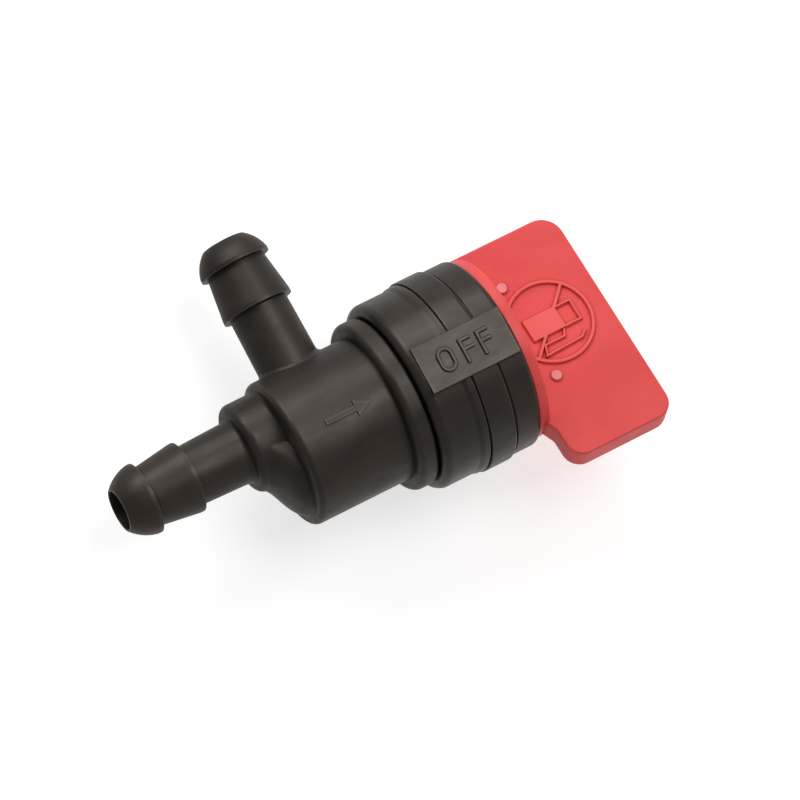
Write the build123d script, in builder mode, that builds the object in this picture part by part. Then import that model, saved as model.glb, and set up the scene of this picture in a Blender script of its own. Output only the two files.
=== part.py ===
from build123d import *
import os
from math import cos, radians, sin

# In-line fuel shut-off valve with a quarter-turn lever, all dimensions in millimetres.
# +X runs from the inlet barb to the lever, +Y is the way the outlet barb points,
# +Z is the side with the OFF panel. The origin is in the first ring of the inlet barb.

# ---- shared lines ----
LEVER_Y = -2.3            # the lever axis runs parallel to X, this far from the inlet bore
LEVER_AXIS = Axis((0, LEVER_Y, 0), (1, 0, 0))

# ---- barbs for 1/4 in hose ----
RING_R = 3.82             # crest of each sealing ring
NECK_R = 3.2              # behind each ring
RING_STEP = 4.9           # ring to ring
LAND = 0.4                # short cylinder on top of each ring
NOSE_R = 2.35             # the bullet-shaped nose ends this wide, through a middle point
NOSE_MID = (0.62, 3.18)   # part of the nose's length from the ring, radius there
RING_BACK = 0.1           # length of the steep back face of a ring
BARB_BORE_R = 2.15
INLET_TIP_X = -2.8
OUTLET_X = 20.0
OUTLET_RING_Y = 17.35     # middle of the land of the first outlet ring
OUTLET_TIP = 2.5          # from that middle to the tip
OUTLET_ROOT_R = 3.38

# ---- valve body ----
HUB_X = 11.1
HUB_R = 4.83
HUB_ROOT_R = 3.42
HUB_ROUND = 0.9
BARREL_X = 14.8
BARREL_R = 7.91
BARREL_ROUND = 0.6
# sections of the wedge under the hub: place along X, centre in Y, radius
GUSSET = ((11.6, -0.3, 4.35), (12.7, -1.45, 4.5), (13.9, -3.5, 4.95), (15.2, -4.1, 5.2))
ROOT_FILLET = 0.5         # where the hub and the outlet grow out of the barrel
NECK_FILLET = 0.35
ARROW_X = (18.2, 23.4)    # raised flow arrow on the barrel, tail to tip
ARROW_HEAD = 1.7
ARROW_HALF = (0.28, 0.85)
ARROW_Z = 8.05
FLANGE_X = 25.75
FLANGE_END_X = 27.9
FLANGE_R = 9.31
FLANGE_ROUND = 0.75
SPIGOT_R = 8.4
SPIGOT_END_X = 34.0
SNAP_X = 31.0             # snap bead that holds the collar
SNAP_H = 0.25
SNAP_W = 1.0
CHAMBER_X = 16.8
CHAMBER_R = 6.0
INLET_BORE_END_X = 15.2
PORT_R = 1.25
SEAL_POCKET_X = 16.0
SEAL_POCKET_R = 2.215

# ---- retaining collar ----
LIP_X = 28.05
LIP_R = 9.5
LIP_MID = (28.32, 10.02)  # middle of the bulged lip, which ends in a crisp edge at the panel
RAMP_X = (32.1, 32.6)     # low ramp ahead of the raised middle band
RAMP_R = 10.46
STEP_A_X = 33.35
STEP_B_X = 36.35
COLLAR_END_X = 39.4
COLLAR_R = (10.3, 10.65, 10.4)
COLLAR_EDGE = 0.5
BAND_EDGE = (0.08, 0.35)
STEP_W = 0.13             # narrow groove at each side of the band
STEP_D = 0.04
CAP_X = 37.4
STEM_HOLE_R = 3.65
PANEL_X = (28.9, 39.1)
PANEL_Z = 10.45
PANEL_HALF = 2.6
PANEL_EDGE = 0.12
LETTER_H = 2.65
LETTER_W = 1.8
LETTER_STROKE = 0.36
LETTER_RAISE = 0.22
LETTER_EDGE = 0.08
LETTER_X = (31.75, 33.8, 35.8)
F_BAR = 1.4
F_MID = 0.15
STOP_TRACK_R = 6.8
STOP_TRACK_W = 1.7
STOP_TRACK_X = 38.2

# ---- rotor and its seals ----
ROTOR_X = 16.85
ROTOR_R = 5.95
FACE_T = 1.15
WAIST_R = 2.6
PISTON_X = 22.3
PISTON_END_X = 31.0
SEAL_X = (24.6, 28.4)     # lower and upper O-ring
GROOVE_W = 1.4
GROOVE_R = 4.75
ORING_R = 0.62
ORING_CENTRE_R = 5.35
STEM_R = 3.6
TANG_END_X = 45.4
TANG_T = 1.6
TANG_W = 7.0

# ---- port seal, thrust washer, spring ----
PORT_SEAL_R = 1.8
PORT_SEAL_T = 0.83
WASHER_X = 31.02
WASHER_T = 0.6
WASHER_R = (3.75, 5.9)
SPRING_R = 4.85
WIRE_R = 0.4
SPRING_TURNS = 3.2

# ---- lever knob, drawn in a frame turned with the lever ----
LEVER_REST = 11.5         # degrees, from in line with the outlet towards the OFF panel
KNOB_X = 39.45
DISC_R = 9.95
DISC_T = 1.2
DISC_EDGE = 0.35
PADDLE_T = 3.0
PADDLE_EDGE = 0.25
PADDLE_X = (40.65, 52.75)
PADDLE_TOP = 10.26
PADDLE_TAIL = -14.85
CORNERS = (2.4, 2.0, 1.9)
WEB = 1.3                 # how far the web under the tail reaches out from the disc
STOP_PIN_R = 0.8
STOP_PIN_L = 1.0
SIGN_X = 46.2             # centre of the moulded sign
SIGN_Y = -0.45
SIGN_R = 4.75
SIGN_STROKE = 0.5
SIGN_LINE = 0.38
SIGN_RAISE = 0.3
SIGN_TAPER = 20           # degrees, on the sides of the sign and the dots
PUMP_BODY = (-2.7, 1.3)   # along the lever axis, from the sign's centre
PUMP_TOP = 3.2
PUMP_HALF = 1.35
HOSE = ((0.9, -1.3), (0.5, -2.1), (-1.8, -2.1), (-2.2, -3.2), (2.1, -3.0), (2.8, -2.4))
DOT_X = 43.7
DOT_OFF = 5.5
DOT_R = 0.64
DOT_H = 0.3

os.makedirs("parts", exist_ok=True)


def round_off(x, y, radius):
    # rounds the corner of the open sketch that lies at x, y
    fillet(vertices().sort_by_distance((x, y, 0))[0], radius)


def turned(x):
    # plane through the lever axis at x, lying flat in the paddle when the lever is at rest
    a = radians(LEVER_REST)
    return Plane(origin=(x, LEVER_Y, 0), x_dir=(1, 0, 0), z_dir=(0, sin(a), cos(a)))


def across(x, y=LEVER_Y):
    # plane square to X, its x along +Y and its y along +Z
    return Plane(origin=(x, y, 0), x_dir=(0, 1, 0), z_dir=(1, 0, 0))


def barb_outline(tip, root_x, root_r):
    # half profile of a two-ring barb; 0 is the middle of the first land, +x runs to the root
    half = LAND / 2
    second = RING_STEP
    nose_x = -half + NOSE_MID[0] * (tip + half)
    Line((tip, 0), (tip, NOSE_R))
    ThreePointArc((tip, NOSE_R), (nose_x, NOSE_MID[1]), (-half, RING_R))
    Polyline((-half, RING_R), (half, RING_R), (half + RING_BACK, NECK_R), (second - half, RING_R),
             (second + half, RING_R), (second + half + RING_BACK, NECK_R), (root_x, root_r),
             (root_x, 0), (tip, 0))


# ---- valve_body ----
outlet_plane = Plane(origin=(OUTLET_X, OUTLET_RING_Y, 0), x_dir=(0, -1, 0), z_dir=(0, 0, 1))

with BuildPart() as valve_body:
    # barrel, flange and spigot
    with BuildSketch(Plane.XY):
        with BuildLine():
            r = LEVER_Y
            Polyline((BARREL_X, r), (BARREL_X, r + BARREL_R), (FLANGE_X, r + BARREL_R),
                     (FLANGE_X, r + FLANGE_R), (FLANGE_END_X, r + FLANGE_R),
                     (FLANGE_END_X, r + SPIGOT_R), (SNAP_X, r + SPIGOT_R),
                     (SNAP_X + SNAP_W / 4, r + SPIGOT_R + SNAP_H),
                     (SNAP_X + SNAP_W / 2, r + SPIGOT_R + SNAP_H), (SNAP_X + SNAP_W, r + SPIGOT_R),
                     (SPIGOT_END_X, r + SPIGOT_R), (SPIGOT_END_X, r), close=True)
        make_face()
        round_off(BARREL_X, LEVER_Y + BARREL_R, BARREL_ROUND)
        round_off(FLANGE_X, LEVER_Y + FLANGE_R, FLANGE_ROUND)
        round_off(FLANGE_END_X, LEVER_Y + FLANGE_R, FLANGE_ROUND / 2)
    revolve(axis=LEVER_AXIS)
    # hub, in line with the inlet
    with BuildSketch(Plane.XY):
        with BuildLine():
            Polyline((HUB_X, 0), (HUB_X, HUB_R), (CHAMBER_X, HUB_R), (CHAMBER_X, 0), close=True)
        make_face()
        round_off(HUB_X, HUB_R, HUB_ROUND)
    revolve(axis=Axis.X)
    # inlet barb
    with BuildSketch(Plane.XY):
        with BuildLine():
            barb_outline(INLET_TIP_X, HUB_X + HUB_ROUND, HUB_ROOT_R)
        make_face()
    revolve(axis=Axis.X)
    # outlet barb
    with BuildSketch(outlet_plane):
        with BuildLine():
            barb_outline(-OUTLET_TIP, OUTLET_RING_Y - LEVER_Y, OUTLET_ROOT_R)
        make_face()
    revolve(axis=Axis((OUTLET_X, 0, 0), (0, 1, 0)))
    # moulded fillets: outlet to barrel, hub to barrel, neck to hub
    on_outlet = valve_body.edges().filter_by_position(Axis.X, OUTLET_X - RING_R, OUTLET_X + RING_R)
    fillet(on_outlet.filter_by(GeomType.BSPLINE), ROOT_FILLET)
    on_end = valve_body.edges().filter_by_position(Axis.X, BARREL_X - LAND, BARREL_X + BARREL_ROUND / 3)
    fillet(on_end.sort_by(SortBy.LENGTH)[:-1], ROOT_FILLET)
    on_hub = valve_body.edges().filter_by_position(Axis.X, HUB_X - LAND / 2, HUB_X + LAND / 2)
    fillet(on_hub.filter_by(GeomType.CIRCLE).filter_by(lambda e: NECK_R < e.radius < RING_R), NECK_FILLET)
    # wedge that carries the hub's underside out to the barrel's edge
    for x, y, r in GUSSET:
        with BuildSketch(across(x, y)):
            Circle(r)
    loft()
    # flow arrow
    with BuildSketch(Plane.XY.offset(BARREL_R - NECK_FILLET)):
        with BuildLine():
            y = LEVER_Y
            neck_x = ARROW_X[1] - ARROW_HEAD
            Polyline((ARROW_X[0], y + ARROW_HALF[0]), (neck_x, y + ARROW_HALF[0]),
                     (neck_x, y + ARROW_HALF[1]), (ARROW_X[1], y), (neck_x, y - ARROW_HALF[1]),
                     (neck_x, y - ARROW_HALF[0]), (ARROW_X[0], y - ARROW_HALF[0]), close=True)
        make_face()
    extrude(amount=ARROW_Z - BARREL_R + NECK_FILLET)
    # chamber
    with BuildSketch(across(CHAMBER_X)):
        Circle(CHAMBER_R)
    extrude(amount=SPIGOT_END_X - CHAMBER_X, mode=Mode.SUBTRACT)
    # inlet bore, port and the pocket of its seal
    with BuildSketch(across(INLET_TIP_X, 0)):
        Circle(BARB_BORE_R)
    extrude(amount=INLET_BORE_END_X - INLET_TIP_X, mode=Mode.SUBTRACT)
    with BuildSketch(across(INLET_BORE_END_X, 0)):
        Circle(PORT_R)
    extrude(amount=CHAMBER_X - INLET_BORE_END_X, mode=Mode.SUBTRACT)
    with BuildSketch(across(SEAL_POCKET_X, 0)):
        Circle(SEAL_POCKET_R)
    extrude(amount=CHAMBER_X - SEAL_POCKET_X, mode=Mode.SUBTRACT)
    # outlet bore
    with BuildSketch(Plane(origin=(OUTLET_X, LEVER_Y, 0), x_dir=(1, 0, 0), z_dir=(0, 1, 0))):
        Circle(BARB_BORE_R)
    extrude(amount=OUTLET_RING_Y + OUTLET_TIP - LEVER_Y, mode=Mode.SUBTRACT)

valve_body.part.label = "valve_body"
export_step(valve_body.part, "parts/valve_body.step")


# ---- retaining_collar ----
with BuildPart() as retaining_collar:
    with BuildSketch(Plane.XY):
        with BuildLine():
            y = LEVER_Y
            Line((LIP_X, y + SPIGOT_R), (LIP_X, y + LIP_R))
            ThreePointArc((LIP_X, y + LIP_R), (LIP_MID[0], y + LIP_MID[1]), (PANEL_X[0], y + COLLAR_R[0]))
            Polyline((PANEL_X[0], y + COLLAR_R[0]), (RAMP_X[0], y + COLLAR_R[0]),
                     (RAMP_X[1], y + RAMP_R), (STEP_A_X - STEP_W, y + RAMP_R),
                     (STEP_A_X - STEP_W, y + COLLAR_R[0] - STEP_D),
                     (STEP_A_X, y + COLLAR_R[0] - STEP_D), (STEP_A_X, y + COLLAR_R[1]),
                     (STEP_B_X, y + COLLAR_R[1]), (STEP_B_X, y + COLLAR_R[0] - STEP_D),
                     (STEP_B_X + STEP_W, y + COLLAR_R[0] - STEP_D), (STEP_B_X + STEP_W, y + COLLAR_R[2]),
                     (COLLAR_END_X, y + COLLAR_R[2]), (COLLAR_END_X, y + STEM_HOLE_R),
                     (CAP_X, y + STEM_HOLE_R), (CAP_X, y + SPIGOT_R), (SNAP_X + SNAP_W, y + SPIGOT_R),
                     (SNAP_X + SNAP_W / 2, y + SPIGOT_R + SNAP_H),
                     (SNAP_X + SNAP_W / 4, y + SPIGOT_R + SNAP_H), (SNAP_X, y + SPIGOT_R),
                     (LIP_X, y + SPIGOT_R))
        make_face()
        round_off(COLLAR_END_X, LEVER_Y + COLLAR_R[2], COLLAR_EDGE)
        round_off(STEP_A_X, LEVER_Y + COLLAR_R[1], BAND_EDGE[0])
        round_off(STEP_B_X, LEVER_Y + COLLAR_R[1], BAND_EDGE[1])
        round_off(STEP_B_X + STEP_W, LEVER_Y + COLLAR_R[2], BAND_EDGE[0])
    revolve(axis=LEVER_AXIS)
    # flat panel: a raised pad with everything above it taken off
    panel_mid = (PANEL_X[0] + PANEL_X[1]) / 2
    panel_l = PANEL_X[1] - PANEL_X[0]
    with BuildSketch(Plane.XY.offset(PANEL_Z)):
        with Locations((panel_mid, LEVER_Y)):
            Rectangle(panel_l, 2 * PANEL_HALF)
    extrude(amount=SPIGOT_R - PANEL_Z + SNAP_H * 2)
    with BuildSketch(Plane.XY.offset(PANEL_Z)):
        with Locations((panel_mid, LEVER_Y)):
            Rectangle(panel_l, 2 * PANEL_HALF)
    extrude(amount=COLLAR_R[1], mode=Mode.SUBTRACT)
    # the word OFF in plain strokes
    with BuildSketch(Plane.XY.offset(PANEL_Z)):
        with Locations((LETTER_X[0], LEVER_Y)):
            SlotOverall(LETTER_H, LETTER_W, rotation=90)
            SlotOverall(LETTER_H - 2 * LETTER_STROKE, LETTER_W - 2 * LETTER_STROKE, rotation=90,
                        mode=Mode.SUBTRACT)
        for x in LETTER_X[1:]:
            with Locations((x, LEVER_Y)):
                Rectangle(LETTER_STROKE, LETTER_H)
            with Locations((x - LETTER_STROKE / 2, LEVER_Y + LETTER_H / 2)):
                Rectangle(F_BAR, LETTER_STROKE, align=(Align.MIN, Align.MAX))
            with Locations((x - LETTER_STROKE / 2, LEVER_Y + F_MID)):
                Rectangle(F_BAR, LETTER_STROKE, align=(Align.MIN, Align.CENTER))
    extrude(amount=LETTER_RAISE)
    letter_tops = retaining_collar.faces().filter_by_position(
        Axis.Z, PANEL_Z + LETTER_RAISE / 2, PANEL_Z + 2 * LETTER_RAISE)
    fillet(letter_tops.edges(), LETTER_EDGE)
    panel_face = retaining_collar.faces().filter_by_position(
        Axis.Z, PANEL_Z - LETTER_EDGE, PANEL_Z + LETTER_EDGE).sort_by(SortBy.AREA)[-1]
    long_edges = panel_face.outer_wire().edges().filter_by(Axis.X)
    fillet(long_edges, PANEL_EDGE)
    # blind track of the stop pin, a quarter turn long
    with BuildSketch(across(STOP_TRACK_X)):
        with BuildLine() as track:
            CenterArc((0, 0), STOP_TRACK_R, -90, 90)
        SlotArc(track.line.edges()[0], STOP_TRACK_W)
    extrude(amount=COLLAR_END_X - STOP_TRACK_X, mode=Mode.SUBTRACT)

retaining_collar.part.label = "retaining_collar"
export_step(retaining_collar.part, "parts/retaining_collar.step")


# ---- valve_rotor ----
with BuildPart() as valve_rotor:
    with BuildSketch(Plane.XY):
        with BuildLine():
            y = LEVER_Y
            Polyline((ROTOR_X, y), (ROTOR_X, y + ROTOR_R), (ROTOR_X + FACE_T, y + ROTOR_R),
                     (ROTOR_X + FACE_T, y + WAIST_R), (PISTON_X, y + WAIST_R), (PISTON_X, y + ROTOR_R),
                     (SEAL_X[0] - GROOVE_W / 2, y + ROTOR_R), (SEAL_X[0] - GROOVE_W / 2, y + GROOVE_R),
                     (SEAL_X[0] + GROOVE_W / 2, y + GROOVE_R), (SEAL_X[0] + GROOVE_W / 2, y + ROTOR_R),
                     (SEAL_X[1] - GROOVE_W / 2, y + ROTOR_R), (SEAL_X[1] - GROOVE_W / 2, y + GROOVE_R),
                     (SEAL_X[1] + GROOVE_W / 2, y + GROOVE_R), (SEAL_X[1] + GROOVE_W / 2, y + ROTOR_R),
                     (PISTON_END_X, y + ROTOR_R), (PISTON_END_X, y + STEM_R), (KNOB_X, y + STEM_R),
                     (KNOB_X, y), close=True)
        make_face()
    revolve(axis=LEVER_AXIS)
    # flat tang that carries the knob
    with BuildSketch(turned(KNOB_X)):
        Rectangle(TANG_END_X - KNOB_X, TANG_W, align=(Align.MIN, Align.CENTER))
    extrude(amount=TANG_T / 2, both=True)
    # off-centre port, in line with the inlet when the lever is open
    open_hole = turned(ROTOR_X)
    with BuildSketch(Plane(origin=open_hole.from_local_coords((0, -LEVER_Y, 0)),
                           x_dir=(0, 1, 0), z_dir=(1, 0, 0))):
        Circle(PORT_R)
    extrude(amount=PISTON_X - ROTOR_X, mode=Mode.SUBTRACT)

valve_rotor.part.label = "valve_rotor"
export_step(valve_rotor.part, "parts/valve_rotor.step")


# ---- stem seals: O-rings with the flat they take up against the groove floor ----
with BuildPart() as lower_stem_seal:
    with BuildSketch(Plane.XY):
        with Locations((SEAL_X[0], LEVER_Y + ORING_CENTRE_R)):
            Circle(ORING_R)
        with Locations((SEAL_X[0], LEVER_Y + GROOVE_R)):
            Rectangle(GROOVE_W, ORING_R, align=(Align.CENTER, Align.MAX), mode=Mode.SUBTRACT)
    revolve(axis=LEVER_AXIS)

lower_stem_seal.part.label = "lower_stem_seal"
export_step(lower_stem_seal.part, "parts/lower_stem_seal.step")

with BuildPart() as upper_stem_seal:
    with BuildSketch(Plane.XY):
        with Locations((SEAL_X[1], LEVER_Y + ORING_CENTRE_R)):
            Circle(ORING_R)
        with Locations((SEAL_X[1], LEVER_Y + GROOVE_R)):
            Rectangle(GROOVE_W, ORING_R, align=(Align.CENTER, Align.MAX), mode=Mode.SUBTRACT)
    revolve(axis=LEVER_AXIS)

upper_stem_seal.part.label = "upper_stem_seal"
export_step(upper_stem_seal.part, "parts/upper_stem_seal.step")


# ---- port_seal: a square-cut ring round the inlet port, its free end rounded ----
with BuildPart() as port_seal:
    with BuildSketch(Plane.XY):
        with Locations((SEAL_POCKET_X, PORT_SEAL_R)):
            ring = Rectangle(PORT_SEAL_T, PORT_SEAL_T, align=(Align.MIN, Align.CENTER))
        fillet(ring.vertices().group_by(Axis.X)[-1], PORT_SEAL_T / 3)
    revolve(axis=Axis.X)

port_seal.part.label = "port_seal"
export_step(port_seal.part, "parts/port_seal.step")


# ---- thrust_washer ----
with BuildPart() as thrust_washer:
    with BuildSketch(across(WASHER_X)):
        Circle(WASHER_R[1])
        Circle(WASHER_R[0], mode=Mode.SUBTRACT)
    extrude(amount=WASHER_T)

thrust_washer.part.label = "thrust_washer"
export_step(thrust_washer.part, "parts/thrust_washer.step")


# ---- thrust_spring: round wire, both ends ground flat ----
spring_x = WASHER_X + WASHER_T
spring_l = CAP_X - spring_x

with BuildPart() as thrust_spring:
    with BuildLine():
        wire = Helix(pitch=spring_l / SPRING_TURNS, height=spring_l, radius=SPRING_R,
                     center=(spring_x, LEVER_Y, 0), direction=(1, 0, 0))
    with BuildSketch(Plane(origin=wire @ 0, z_dir=wire % 0)):
        Circle(WIRE_R)
    sweep(is_frenet=True)
    split(bisect_by=across(spring_x), keep=Keep.TOP)
    split(bisect_by=across(CAP_X), keep=Keep.BOTTOM)

thrust_spring.part.label = "thrust_spring"
export_step(thrust_spring.part, "parts/thrust_spring.step")


# ---- lever_knob ----
def fuel_sign():
    # a fuel pump in a ring with a bar behind it, its top away from the collar
    reach = (SIGN_R - SIGN_STROKE / 2) * cos(radians(45))
    with Locations((SIGN_X, SIGN_Y)):
        Circle(SIGN_R)
        Circle(SIGN_R - SIGN_STROKE, mode=Mode.SUBTRACT)
    with BuildLine() as bar:
        Line((SIGN_X - reach, SIGN_Y - reach), (SIGN_X + reach, SIGN_Y + reach))
    trace(bar.line, line_width=SIGN_STROKE)
    with BuildLine() as hose:
        Polyline(*[(SIGN_X + x, SIGN_Y + y) for x, y in HOSE])
    trace(hose.line, line_width=SIGN_LINE)
    with Locations((SIGN_X + PUMP_BODY[0], SIGN_Y)):
        Rectangle(PUMP_TOP - PUMP_BODY[0], 2 * PUMP_HALF, align=(Align.MIN, Align.CENTER))
    with Locations((SIGN_X + PUMP_BODY[1], SIGN_Y)):
        Rectangle(PUMP_TOP - PUMP_BODY[1] - SIGN_LINE, 2 * (PUMP_HALF - SIGN_LINE),
                  align=(Align.MIN, Align.CENTER), mode=Mode.SUBTRACT)


with BuildPart() as lever_knob:
    # paddle
    with BuildSketch(turned(0)):
        with BuildLine():
            Polyline((KNOB_X + DISC_T / 2, -DISC_R), (KNOB_X + DISC_T / 2, DISC_R),
                     (PADDLE_X[0], PADDLE_TOP), (PADDLE_X[1], PADDLE_TOP), (PADDLE_X[1], PADDLE_TAIL),
                     (PADDLE_X[0], PADDLE_TAIL), (PADDLE_X[0], -DISC_R - WEB), close=True)
        make_face()
        round_off(PADDLE_X[1], PADDLE_TOP, CORNERS[0])
        round_off(PADDLE_X[1], PADDLE_TAIL, CORNERS[1])
        round_off(PADDLE_X[0], PADDLE_TAIL, CORNERS[2])
        round_off(PADDLE_X[0], -DISC_R - WEB, WEB)
    extrude(amount=PADDLE_T / 2, both=True)
    flats = lever_knob.faces().filter_by(turned(0))
    fillet(flats.edges(), PADDLE_EDGE)
    # base disc
    with BuildSketch(Plane.XY):
        with Locations((KNOB_X, LEVER_Y)):
            Rectangle(DISC_T, DISC_R, align=Align.MIN)
        round_off(KNOB_X + DISC_T, LEVER_Y + DISC_R, DISC_EDGE)
    revolve(axis=LEVER_AXIS)
    # sign and dots, raised on both faces of the paddle
    for side in (1, -1):
        face = turned(0).offset(side * PADDLE_T / 2)
        with BuildSketch(face):
            fuel_sign()
        extrude(amount=side * SIGN_RAISE, taper=SIGN_TAPER)
        with BuildSketch(face):
            with Locations((DOT_X, SIGN_Y + DOT_OFF), (DOT_X, SIGN_Y - DOT_OFF)):
                Circle(DOT_R)
        extrude(amount=side * DOT_H, taper=SIGN_TAPER)
    # slot for the tang
    with BuildSketch(turned(KNOB_X)):
        Rectangle(TANG_END_X - KNOB_X, TANG_W, align=(Align.MIN, Align.CENTER))
    extrude(amount=TANG_T / 2, both=True, mode=Mode.SUBTRACT)
    # stop pin, opposite the tail
    with BuildSketch(Plane(origin=turned(KNOB_X).from_local_coords((0, STOP_TRACK_R, 0)),
                           x_dir=(0, 1, 0), z_dir=(-1, 0, 0))):
        Circle(STOP_PIN_R)
    extrude(amount=STOP_PIN_L)

lever_knob.part.label = "lever_knob"
export_step(lever_knob.part, "parts/lever_knob.step")
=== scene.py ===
from math import cos, radians, sin

import bpy
from mathutils import Matrix, Vector


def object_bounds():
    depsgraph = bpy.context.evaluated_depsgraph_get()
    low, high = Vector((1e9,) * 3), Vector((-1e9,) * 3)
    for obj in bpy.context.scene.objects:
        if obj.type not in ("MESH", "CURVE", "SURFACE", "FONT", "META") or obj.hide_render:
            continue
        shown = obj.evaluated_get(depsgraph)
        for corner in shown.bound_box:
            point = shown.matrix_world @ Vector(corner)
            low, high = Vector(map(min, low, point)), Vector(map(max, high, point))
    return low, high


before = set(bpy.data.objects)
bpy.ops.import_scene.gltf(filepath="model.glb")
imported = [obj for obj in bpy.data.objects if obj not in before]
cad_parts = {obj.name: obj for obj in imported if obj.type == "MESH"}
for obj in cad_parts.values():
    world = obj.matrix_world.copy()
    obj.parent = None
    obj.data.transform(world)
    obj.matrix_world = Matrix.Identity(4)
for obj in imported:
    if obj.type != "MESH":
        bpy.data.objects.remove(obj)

MM = 0.001
cad_low, cad_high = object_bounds()
cad_middle = (cad_low + cad_high) / 2


# ---- camera: looks down on the OFF panel from the inlet's side, inlet at the lower left ----
VIEW_FROM = Vector((-0.291, -0.117, 0.950)).normalized()
VIEW_RIGHT = Vector((0.857, -0.473, 0.204)).normalized()
DISTANCE = 650 * MM
FRAME_WIDTH = 81.3 * MM       # what the picture spans at the object
AIM_RIGHT = 5.0 * MM          # the object sits left of and above the picture's middle
AIM_UP = -1.9 * MM
SENSOR_WIDTH = 36             # mm, as Blender counts it
CLIP = (0.01, 10)             # nearest and farthest distance that is drawn, in metres


def camera():
    right = (VIEW_RIGHT - VIEW_RIGHT.dot(VIEW_FROM) * VIEW_FROM).normalized()
    up = VIEW_FROM.cross(right)
    data = bpy.data.cameras.new("camera")
    data.sensor_width = SENSOR_WIDTH
    data.lens = data.sensor_width * DISTANCE / FRAME_WIDTH
    data.clip_start, data.clip_end = CLIP
    eye = bpy.data.objects.new("camera", data)
    aim = cad_middle + AIM_RIGHT * right + AIM_UP * up
    turn = Matrix((right, up, VIEW_FROM)).transposed().to_4x4()
    eye.matrix_world = Matrix.Translation(aim + DISTANCE * VIEW_FROM) @ turn
    bpy.context.scene.collection.objects.link(eye)
    bpy.context.scene.camera = eye


# ---- light ----
SOFT_BOXES = (                # name, place from the object's middle and size in mm, power in watts
    ("key", (-60, 700, 560), (900, 500), 5.2),
    ("overhead", (290, 30, 900), (500, 500), 3.3),
)
ROOM_TINT = (1.0, 0.98, 0.96, 1)
ROOM_BELOW = 0.75             # strength of the room's light from below and from above
ROOM_ABOVE = 0.25
ROOM_INLET = 0.45             # and the share of it on the inlet's side and on the lever's
ROOM_LEVER = 1.25


def area_light(name, place, size, power):
    # a soft box aimed at the middle of the object
    data = bpy.data.lights.new(name, "AREA")
    data.shape = "RECTANGLE"
    data.size, data.size_y = size[0] * MM, size[1] * MM
    data.energy = power
    lamp = bpy.data.objects.new(name, data)
    lamp.location = cad_middle + Vector(place) * MM
    aim = cad_middle - lamp.location
    lamp.rotation_euler = aim.to_track_quat("-Z", "Y").to_euler()
    bpy.context.scene.collection.objects.link(lamp)


def studio():
    # a wide box beyond the outlet, one overhead, and a weak room
    for box in SOFT_BOXES:
        area_light(*box)
    world = bpy.data.worlds.new("studio")
    world.use_nodes = True
    nodes, links = world.node_tree.nodes, world.node_tree.links
    back = nodes["Background"]
    back.inputs["Color"].default_value = ROOM_TINT
    coords = nodes.new("ShaderNodeTexCoord")
    axes = nodes.new("ShaderNodeSeparateXYZ")
    links.new(coords.outputs["Generated"], axes.inputs["Vector"])
    strength = nodes.new("ShaderNodeMath")
    strength.operation = "MULTIPLY"
    for i, axis, low, high in ((0, "Z", ROOM_BELOW, ROOM_ABOVE), (1, "X", ROOM_INLET, ROOM_LEVER)):
        blend = nodes.new("ShaderNodeMapRange")
        blend.inputs["From Min"].default_value = -1.0
        blend.inputs["To Min"].default_value = low
        blend.inputs["To Max"].default_value = high
        links.new(axes.outputs[axis], blend.inputs["Value"])
        links.new(blend.outputs["Result"], strength.inputs[i])
    links.new(strength.outputs["Value"], back.inputs["Strength"])
    bpy.context.scene.world = world
    bpy.context.scene.view_settings.view_transform = "Standard"


# ---- floor: a plain pale sheet ----
FLOOR_HALF = 3.0              # metres
FLOOR_GAP = 0.05 * MM         # keeps the collar's lowest line off the floor
PAPER = (0.5, 0.5, 0.5)
PAPER_GLOW = 0.68             # lifts the paper to white in the picture


def floor():
    half = FLOOR_HALF
    z = cad_low.z - FLOOR_GAP
    corners = [(-half, -half, z), (half, -half, z), (half, half, z), (-half, half, z)]
    mesh = bpy.data.meshes.new("floor")
    mesh.from_pydata(corners, [], [(0, 1, 2, 3)])
    ground = bpy.data.objects.new("floor", mesh)
    bpy.context.scene.collection.objects.link(ground)
    ground.visible_glossy = False     # satin plastic mirrors the room, not a burnt-out floor
    paper = Paint("floor_paper", PAPER, roughness=0.8)
    paper.shader.inputs["Emission Color"].default_value = (1, 1, 1, 1)
    paper.shader.inputs["Emission Strength"].default_value = PAPER_GLOW
    mesh.materials.append(paper.material)


# ---- materials: every texture is solid and in mm, so a moving piece keeps its own ----
MIX_FIRST, MIX_SECOND, MIX_RESULT = 6, 7, 2   # the Mix node's colour sockets
BEVEL_SAMPLES = 6
SHADE_SAMPLES = 8
EDGE_HIGHLIGHT_SPAN = (0.55, 0.90)         # inside occlusion from a sharp edge to an open face, the span of the painted edge highlight
SHUT_IN = (0.50, 0.92)        # occlusion from a groove to an open face


def times(factor, colour):
    return tuple(factor * value for value in colour)


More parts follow.
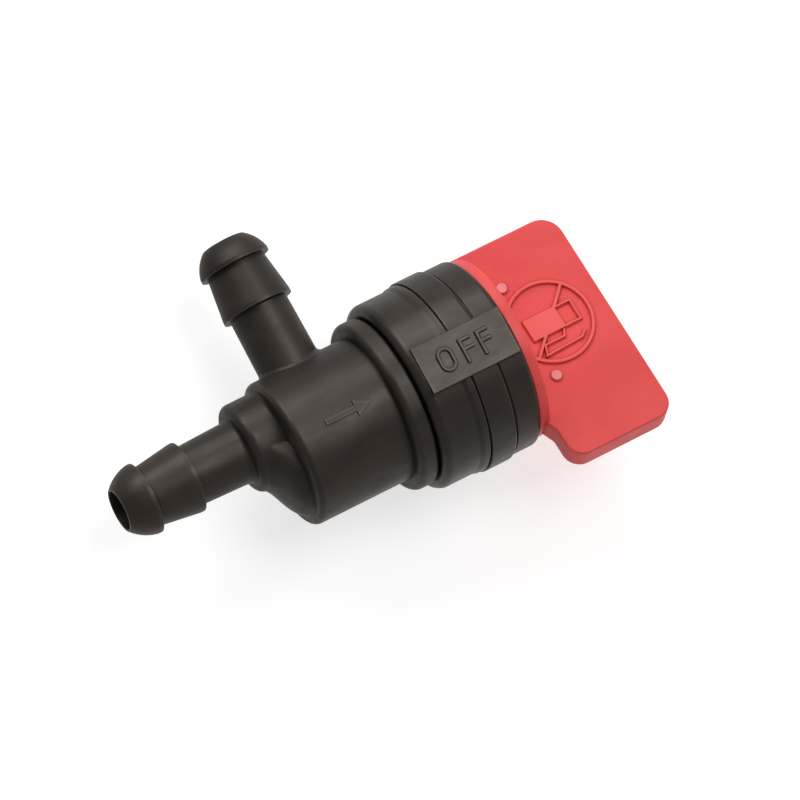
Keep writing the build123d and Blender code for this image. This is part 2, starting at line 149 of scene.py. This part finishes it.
class Paint:
    def __init__(self, name, colour, roughness, metallic=0.0):
        self.material = bpy.data.materials.new(name)
        self.material.use_nodes = True
        self.material.diffuse_color = (*colour, 1)
        self.tree = self.material.node_tree
        self.shader = self.tree.nodes["Principled BSDF"]
        self.shader.inputs["Base Color"].default_value = (*colour, 1)
        self.shader.inputs["Roughness"].default_value = roughness
        self.shader.inputs["Metallic"].default_value = metallic

    def add(self, kind, **settings):
        node = self.tree.nodes.new(kind)
        for key, value in settings.items():
            setattr(node, key, value)
        return node

    def join(self, source, target):
        self.tree.links.new(source, target)

    def position(self, stretch=(1, 1, 1)):
        # the point on the piece in mm, squeezed along the axes where a grain runs along the part
        coords = self.add("ShaderNodeTexCoord")
        scale = self.add("ShaderNodeMapping")
        scale.inputs["Scale"].default_value = [value / MM for value in stretch]
        self.join(coords.outputs["Object"], scale.inputs["Vector"])
        return scale.outputs["Vector"]

    def noise(self, per_mm, detail=2.0, stretch=(1, 1, 1), distortion=0.0, shift=0.0):
        node = self.add("ShaderNodeTexNoise", noise_dimensions="4D")
        node.inputs["W"].default_value = shift
        node.inputs["Scale"].default_value = per_mm
        node.inputs["Detail"].default_value = detail
        node.inputs["Distortion"].default_value = distortion
        self.join(self.position(stretch), node.inputs["Vector"])
        return node.outputs["Fac"]

    def span(self, value, low, high, start=0.3, end=0.7):
        # value from start..end becomes low..high
        node = self.add("ShaderNodeMapRange")
        for key, number in (("From Min", start), ("From Max", end), ("To Min", low), ("To Max", high)):
            node.inputs[key].default_value = number
        self.join(value, node.inputs["Value"])
        return node.outputs["Result"]

    def maths(self, operation, first, second):
        node = self.add("ShaderNodeMath", operation=operation)
        for value, socket in ((first, node.inputs[0]), (second, node.inputs[1])):
            if isinstance(value, (int, float)):
                socket.default_value = value
            else:
                self.join(value, socket)
        return node.outputs["Value"]

    def mix(self, factor, first, second):
        node = self.add("ShaderNodeMix", data_type="RGBA")
        self.join(factor, node.inputs["Factor"])
        for value, socket in ((first, node.inputs[MIX_FIRST]), (second, node.inputs[MIX_SECOND])):
            if isinstance(value, tuple):
                socket.default_value = (*value, 1)
            else:
                self.join(value, socket)
        return node.outputs[MIX_RESULT]

    def bump(self, height, depth_mm, under=None):
        node = self.add("ShaderNodeBump")
        node.inputs["Distance"].default_value = depth_mm * MM
        self.join(height, node.inputs["Height"])
        if under is not None:
            self.join(under, node.inputs["Normal"])
        return node.outputs["Normal"]

    def soft_edge(self, radius_mm):
        node = self.add("ShaderNodeBevel", samples=BEVEL_SAMPLES)
        node.inputs["Radius"].default_value = radius_mm * MM
        return node.outputs["Normal"]

    def painted_edge_highlight(self, reach_mm):
        # 0 on open faces, 1 on outer edges and thin raised strokes, where a highlight is painted
        node = self.add("ShaderNodeAmbientOcclusion", samples=SHADE_SAMPLES, inside=True, only_local=True)
        node.inputs["Distance"].default_value = reach_mm * MM
        return self.span(node.outputs["AO"], 1.0, 0.0, *EDGE_HIGHLIGHT_SPAN)

    def openness(self, reach_mm):
        # 1 on open faces, falling to 0 in corners and grooves, where shade is painted
        node = self.add("ShaderNodeAmbientOcclusion", samples=SHADE_SAMPLES)
        node.inputs["Distance"].default_value = reach_mm * MM
        return self.span(node.outputs["AO"], 0.0, 1.0, *SHUT_IN)

    def away(self, direction, middle):
        # distance in mm, along a direction, from the plane at that offset
        dot = self.add("ShaderNodeVectorMath", operation="DOT_PRODUCT")
        dot.inputs[1].default_value = direction
        self.join(self.position(), dot.inputs[0])
        return self.maths("ABSOLUTE", self.maths("SUBTRACT", dot.outputs["Value"], middle), 0)

    def finish(self, colour=None, roughness=None, normal=None):
        for value, key in ((colour, "Base Color"), (roughness, "Roughness"), (normal, "Normal")):
            if value is not None:
                self.join(value, self.shader.inputs[key])
        return self.material


NYLON_DARK = (0.012, 0.0093, 0.0078)
NYLON_LIGHT = (0.025, 0.0185, 0.0145)
# painted light: the collar's nylon is a lighter copy of the body's, raised to stand in for more light on
# its top
COLLAR_PAINTED_LIGHT = (0.026, 0.0195, 0.016)
NYLON_SHEEN = (1.0, 0.88, 0.79, 1)


def moulded_black(name, light, shift, smooth, rough):
    # nylon: a faint brown cast, cloudy flow marks, a fine sparked grain, painted highlights on the outer
    # edges, painted shade in grooves and corners
    dark = NYLON_DARK
    paint = Paint(name, dark, roughness=0.38)
    paint.shader.inputs["Specular Tint"].default_value = NYLON_SHEEN
    soft = paint.soft_edge(0.09)
    unshaded = paint.openness(0.6)
    edge = paint.painted_edge_highlight(0.22)
    clouds = paint.noise(0.28, detail=4.0, stretch=(0.5, 1, 1), distortion=0.6, shift=shift)
    speckle = paint.noise(7.0, shift=shift)
    tone = paint.mix(paint.span(clouds, 0, 1, start=0.35, end=0.65), dark, light)
    tone = paint.mix(paint.span(speckle, 0, 0.35, start=0.55, end=0.75), tone, times(1.5, light))
    # painted shade: grooves and corners darkened to a third of the dark tone
    tone = paint.mix(unshaded, times(0.35, dark), tone)
    # painted highlight: outer edges lightened towards four times the light tone
    tone = paint.mix(paint.maths("MULTIPLY", edge, 0.6), tone, times(4.0, light))
    satin = paint.noise(0.9, detail=3.0, stretch=(0.4, 1, 1), distortion=0.3, shift=shift + 5)
    gloss = paint.span(satin, smooth, rough)
    gloss = paint.maths("SUBTRACT", gloss, paint.maths("MULTIPLY", edge, 0.14))
    sinks = paint.noise(0.35, detail=1.0, stretch=(0.5, 1, 1), shift=shift + 9)
    wave = paint.bump(sinks, 0.05, under=soft)
    grain = paint.bump(paint.noise(4.5, detail=3.0, shift=shift + 3), 0.006, under=wave)
    return paint.finish(tone, gloss, grain)


RED_BRIGHT = (0.78, 0.083, 0.077)
RED_DEEP = (0.68, 0.058, 0.058)
RED_SPECK = (0.83, 0.11, 0.10)
RED_EDGE_HIGHLIGHT = (0.86, 0.17, 0.16)
RED_PAINTED_TOP_HIGHLIGHT = (0.90, 0.19, 0.17)
RED_DOTS_PAINTED_HIGHLIGHT = (0.80, 0.42, 0.42)
RED_PAINTED_SHADE = (0.42, 0.012, 0.012)
LEVER_Y = -2.3                # the lever's axis and lean at rest, and the sign's place on the paddle
LEVER_REST = 11.5
SIGN_Y = -0.45
PROUD = (1.56, 1.74)          # from the paddle's face to the top of the sign, in mm from its middle
BEYOND_DISC = (41.0, 41.2)    # where along X the base disc is left behind
BEYOND_RING = (4.80, 4.90)    # where beside the sign its ring is left behind


def moulded_red():
    # acetal: even and waxy, with slow clouds, painted highlights on the outer edges and painted shade in
    # the crevices
    paint = Paint("red_acetal", RED_BRIGHT, roughness=0.4)
    paint.shader.inputs["Specular IOR Level"].default_value = 0.28
    soft = paint.soft_edge(0.10)
    unshaded = paint.openness(0.5)
    edge = paint.painted_edge_highlight(0.25)
    clouds = paint.noise(0.09, detail=3.0, distortion=0.5, shift=2.0)
    speckle = paint.noise(5.0, shift=4.0)
    tone = paint.mix(paint.span(clouds, 0, 1, start=0.35, end=0.65), RED_DEEP, RED_BRIGHT)
    tone = paint.mix(paint.span(speckle, 0, 0.25, start=0.5, end=0.75), tone, RED_SPECK)
    # painted highlight on the outer edges
    tone = paint.mix(paint.maths("MULTIPLY", edge, 0.35), tone, RED_EDGE_HIGHLIGHT)
    # the sign and dots stand proud of the faces and get a painted highlight on their tops, the dots most
    lean = radians(LEVER_REST)
    proud = paint.span(paint.away((0, sin(lean), cos(lean)), LEVER_Y * sin(lean)), 0, 1, *PROUD)
    proud = paint.maths("MULTIPLY", proud, paint.span(paint.away((1, 0, 0), 0), 0, 1, *BEYOND_DISC))
    beside = paint.away((0, cos(lean), -sin(lean)), LEVER_Y * cos(lean) + SIGN_Y)
    dots = paint.maths("MULTIPLY", proud, paint.span(beside, 0, 1, *BEYOND_RING))
    tone = paint.mix(paint.maths("MULTIPLY", proud, 0.28), tone, RED_PAINTED_TOP_HIGHLIGHT)
    tone = paint.mix(paint.maths("MULTIPLY", dots, 0.45), tone, RED_DOTS_PAINTED_HIGHLIGHT)
    # painted shade: crevices and the feet of the strokes darkened to deep red
    tone = paint.mix(unshaded, RED_PAINTED_SHADE, tone)
    rough = paint.span(paint.noise(0.5, detail=3.0, shift=7.0), 0.34, 0.46)
    wave = paint.bump(paint.noise(0.16, detail=1.0, shift=11.0), 0.12, under=soft)
    grain = paint.bump(paint.noise(3.5, detail=3.0, shift=13.0), 0.004, under=wave)
    return paint.finish(tone, rough, grain)


def natural_acetal():
    # unpigmented, with turned lines round the rotor's axis
    paint = Paint("natural_acetal", (0.78, 0.75, 0.68), roughness=0.4)
    clouds = paint.noise(0.2, detail=3.0, shift=1.0)
    tone = paint.mix(paint.span(clouds, 0, 1), (0.70, 0.67, 0.60), (0.82, 0.80, 0.74))
    rough = paint.span(paint.noise(1.2, detail=3.0, shift=6.0), 0.32, 0.46)
    lines = paint.noise(3.0, detail=1.0, stretch=(4, 0.2, 0.2), shift=8.0)
    turned = paint.bump(lines, 0.006, under=paint.soft_edge(0.06))
    return paint.finish(tone, rough, turned)


def rubber():
    # black, with a pale bloom
    paint = Paint("seal_rubber", (0.02, 0.02, 0.02), roughness=0.6)
    bloom = paint.noise(1.5, detail=4.0, shift=1.0)
    tone = paint.mix(paint.span(bloom, 0, 1), (0.012, 0.012, 0.013), (0.035, 0.034, 0.032))
    rough = paint.span(paint.noise(4.0, shift=3.0), 0.5, 0.75)
    skin = paint.bump(paint.noise(6.0, detail=3.0, shift=5.0), 0.01)
    return paint.finish(tone, rough, skin)


def steel(name, stretch, colour, smooth, rough):
    # drawn wire or blanked strip: fine lines along the working direction
    paint = Paint(name, colour, roughness=smooth, metallic=1.0)
    lines = paint.noise(3.0, detail=3.0, stretch=stretch)
    tone = paint.mix(paint.span(lines, 0, 1), times(0.7, colour), colour)
    gloss = paint.span(lines, smooth, rough)
    return paint.finish(tone, gloss, paint.bump(lines, 0.003, under=paint.soft_edge(0.04)))


def dress(nodes, material):
    for node in nodes:
        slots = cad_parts[node].data.materials
        slots.clear()
        slots.append(material)


camera()
studio()
floor()
dress(["valve_body"],
      moulded_black("black_nylon", NYLON_LIGHT, shift=0.0, smooth=0.38, rough=0.52))
# the collar wears the lighter, painted-light copy of the nylon
dress(["retaining_collar"],
      moulded_black("black_nylon_collar", COLLAR_PAINTED_LIGHT, shift=21.0, smooth=0.31, rough=0.42))
dress(["lever_knob"], moulded_red())
dress(["valve_rotor"], natural_acetal())
dress(["port_seal", "lower_stem_seal", "upper_stem_seal"], rubber())
dress(["thrust_washer"],
      steel("washer_steel", stretch=(1, 1, 6), colour=(0.62, 0.61, 0.59), smooth=0.22, rough=0.40))
dress(["thrust_spring"],
      steel("spring_steel", stretch=(6, 1, 1), colour=(0.55, 0.54, 0.53), smooth=0.20, rough=0.34))
